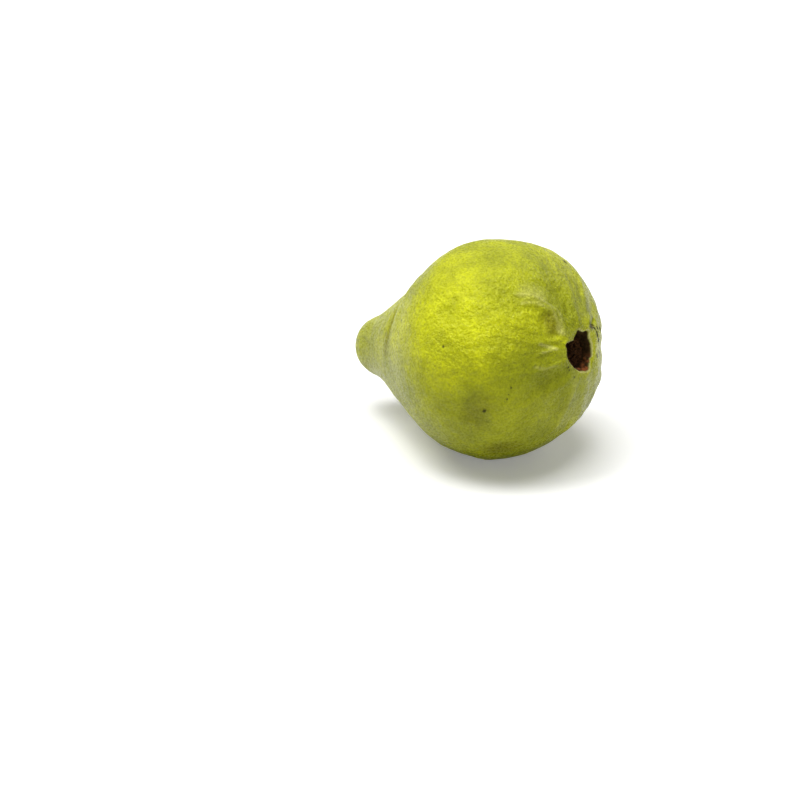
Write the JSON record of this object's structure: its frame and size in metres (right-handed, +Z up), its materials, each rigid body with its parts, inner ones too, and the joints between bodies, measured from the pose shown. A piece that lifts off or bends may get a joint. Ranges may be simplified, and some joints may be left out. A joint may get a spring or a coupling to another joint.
{
  "type": "guava",
  "caption": "Whole pear-shaped guava as picked, lying on a small flat spot, with a lobed calyx cup, its dried flower remains and a short stem stub.",
  "frame": {"origin": "middle of the small flat spot on the underside that the fruit rests on", "axes": "+X is the level heading of the fruit's axis from stem to calyx, whose end is raised 13.8 degrees; XZ holds the axis; +Z up"},
  "size_m": [0.1106, 0.0864, 0.0859],
  "materials": {
    "guava_skin": "waxy yellow-green rind, mottled olive, finely pored, satin",
    "dried_flower": "withered brown calyx and flower tissue, rough and crumbly",
    "stem_wood": "dry twig bark with a snapped fibrous end"
  },
  "bodies": {
    "root": {"fruit": "guava_skin", "dried_flower_disc": "dried_flower", "style_remnant": "dried_flower", "stem_stub": "stem_wood"}
  },
  "joints": []
}
